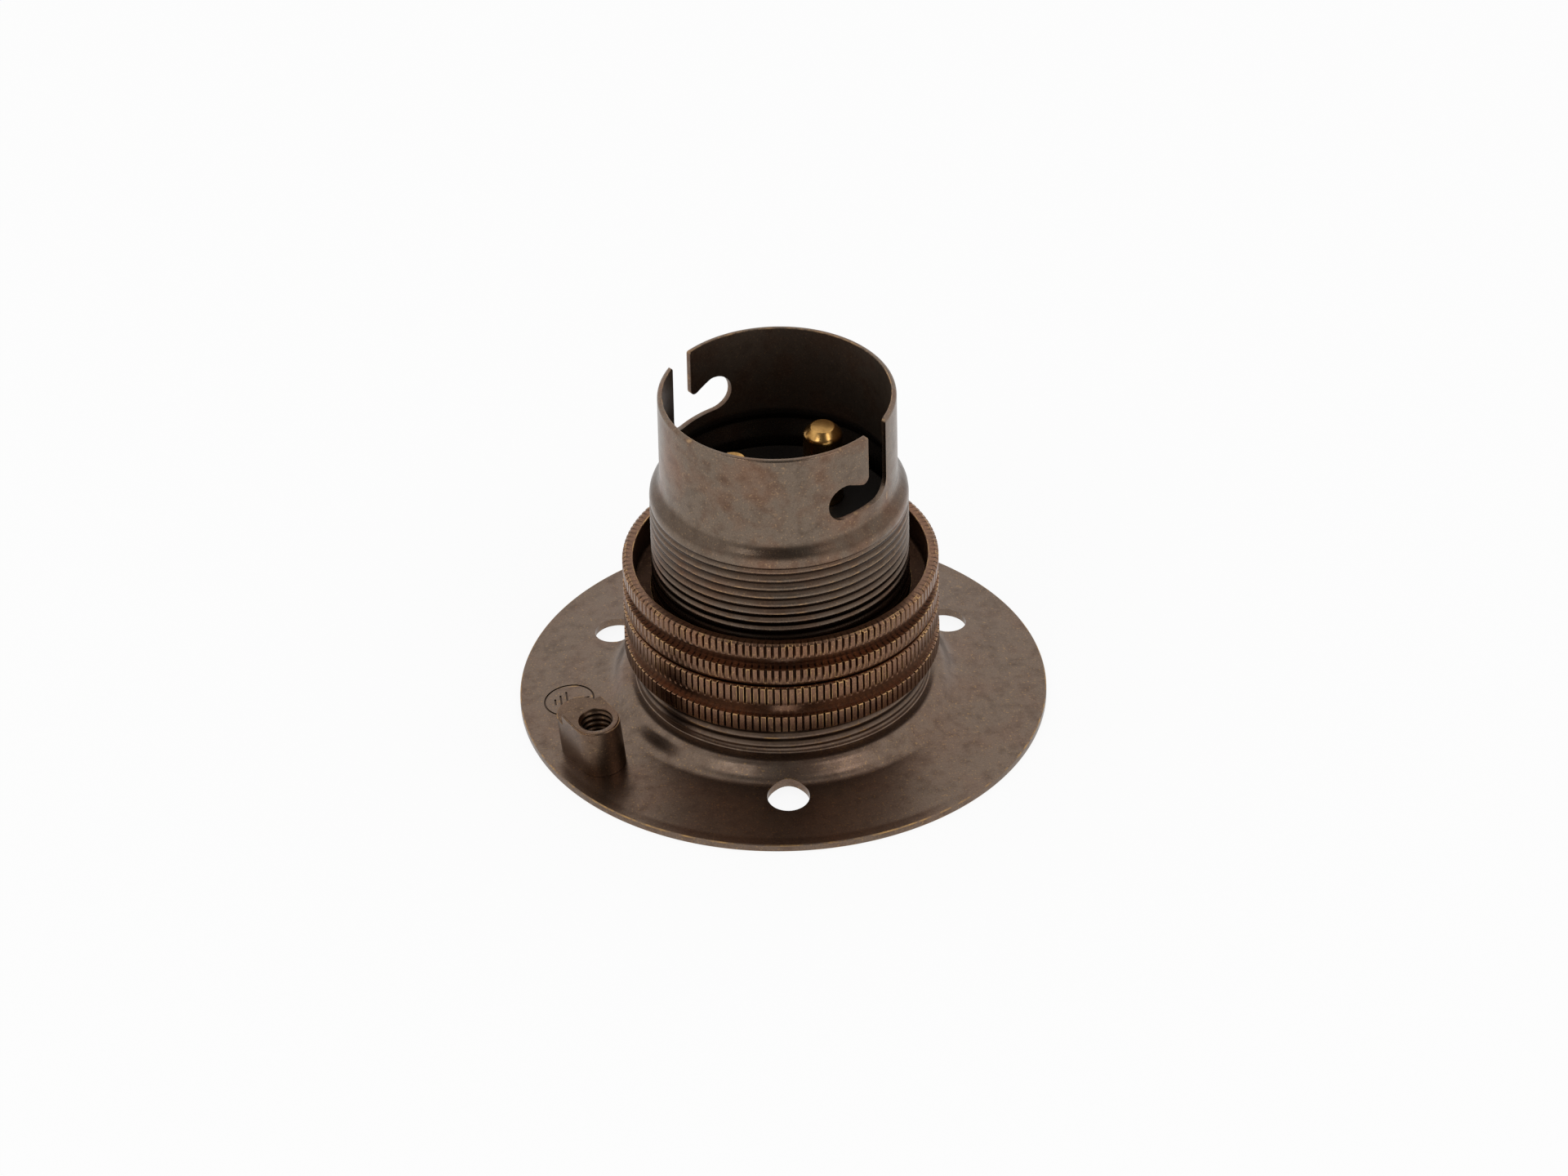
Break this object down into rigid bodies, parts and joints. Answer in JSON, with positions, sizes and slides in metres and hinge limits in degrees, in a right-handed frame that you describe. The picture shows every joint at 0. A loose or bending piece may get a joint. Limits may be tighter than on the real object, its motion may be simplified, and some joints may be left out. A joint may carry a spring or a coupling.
{
  "type": "lamp holder",
  "caption": "Batten lamp holder on a round dished backplate, with a slotted bayonet barrel, sprung plungers, knurled union and shade rings and an earth terminal.",
  "frame": {"origin": "centre of the backplate, on the plane of the wall or table that the plate's edge rests on", "axes": "+Z along the lamp's axis, out of the socket; one fixing hole lies on -Y"},
  "size_m": [0.055, 0.055, 0.0382],
  "materials": {
    "bronzed_brass": "antique bronzed, satin, bright on worn edges",
    "plain_brass": "turned, polished",
    "insulator": "moulded phenolic, dark",
    "spring_steel": "drawn wire"
  },
  "bodies": {
    "root": {"backplate": "bronzed_brass", "earth_terminal": "bronzed_brass", "insulator_base": "insulator", "insulator_cap": "insulator", "joining_screw": "plain_brass", "terminal_pillar_left": "plain_brass", "terminal_pillar_right": "plain_brass", "plunger_spring_left": "spring_steel", "plunger_spring_right": "spring_steel"},
    "barrel": {"barrel": "bronzed_brass"},
    "union_ring": {"union_ring": "bronzed_brass"},
    "shade_ring": {"shade_ring": "bronzed_brass"},
    "plunger_left": {"plunger_left": "plain_brass"},
    "plunger_right": {"plunger_right": "plain_brass"},
    "earth_screw": {"earth_screw": "plain_brass"},
    "terminal_screw_left": {"terminal_screw_left": "plain_brass"},
    "terminal_screw_right": {"terminal_screw_right": "plain_brass"}
  },
  "joints": [
    {"name": "barrel_lift", "type": "slide", "parent": "root", "child": "barrel", "axis": [0, 0, 1], "range_m": [0, 0.0026]},
    {"name": "union_ring_turn", "type": "hinge", "parent": "barrel", "child": "union_ring", "pos_m": [0, 0, 0.0098], "axis": [0, 0, 1], "range_deg": [0, 900]},
    {"name": "shade_ring_slide", "type": "slide", "parent": "barrel", "child": "shade_ring", "axis": [0, 0, 1], "range_m": [0, 0.0127]},
    {"name": "plunger_left_press", "type": "slide", "parent": "root", "child": "plunger_left", "axis": [0, 0, -1], "range_m": [0, 0.008], "stiffness_N_per_m": 600, "springref_m": -0.003, "deforming": ["plunger_spring_left"]},
    {"name": "plunger_right_press", "type": "slide", "parent": "root", "child": "plunger_right", "axis": [0, 0, -1], "range_m": [0, 0.008], "stiffness_N_per_m": 600, "springref_m": -0.003, "deforming": ["plunger_spring_right"]},
    {"name": "earth_screw_out", "type": "slide", "parent": "root", "child": "earth_screw", "axis": [-0.098, -0.0566, 0.9936], "range_m": [0, 0.0025]},
    {"name": "terminal_screw_left_out", "type": "slide", "parent": "root", "child": "terminal_screw_left", "axis": [-0.866, -0.5, 0], "range_m": [0, 0.0015]},
    {"name": "terminal_screw_right_out", "type": "slide", "parent": "root", "child": "terminal_screw_right", "axis": [0.866, 0.5, 0], "range_m": [0, 0.0015]}
  ],
  "couplings": [
    {"joint": "barrel_lift", "follows": "union_ring_turn", "m_per_rad": 0.00016393}
  ]
}
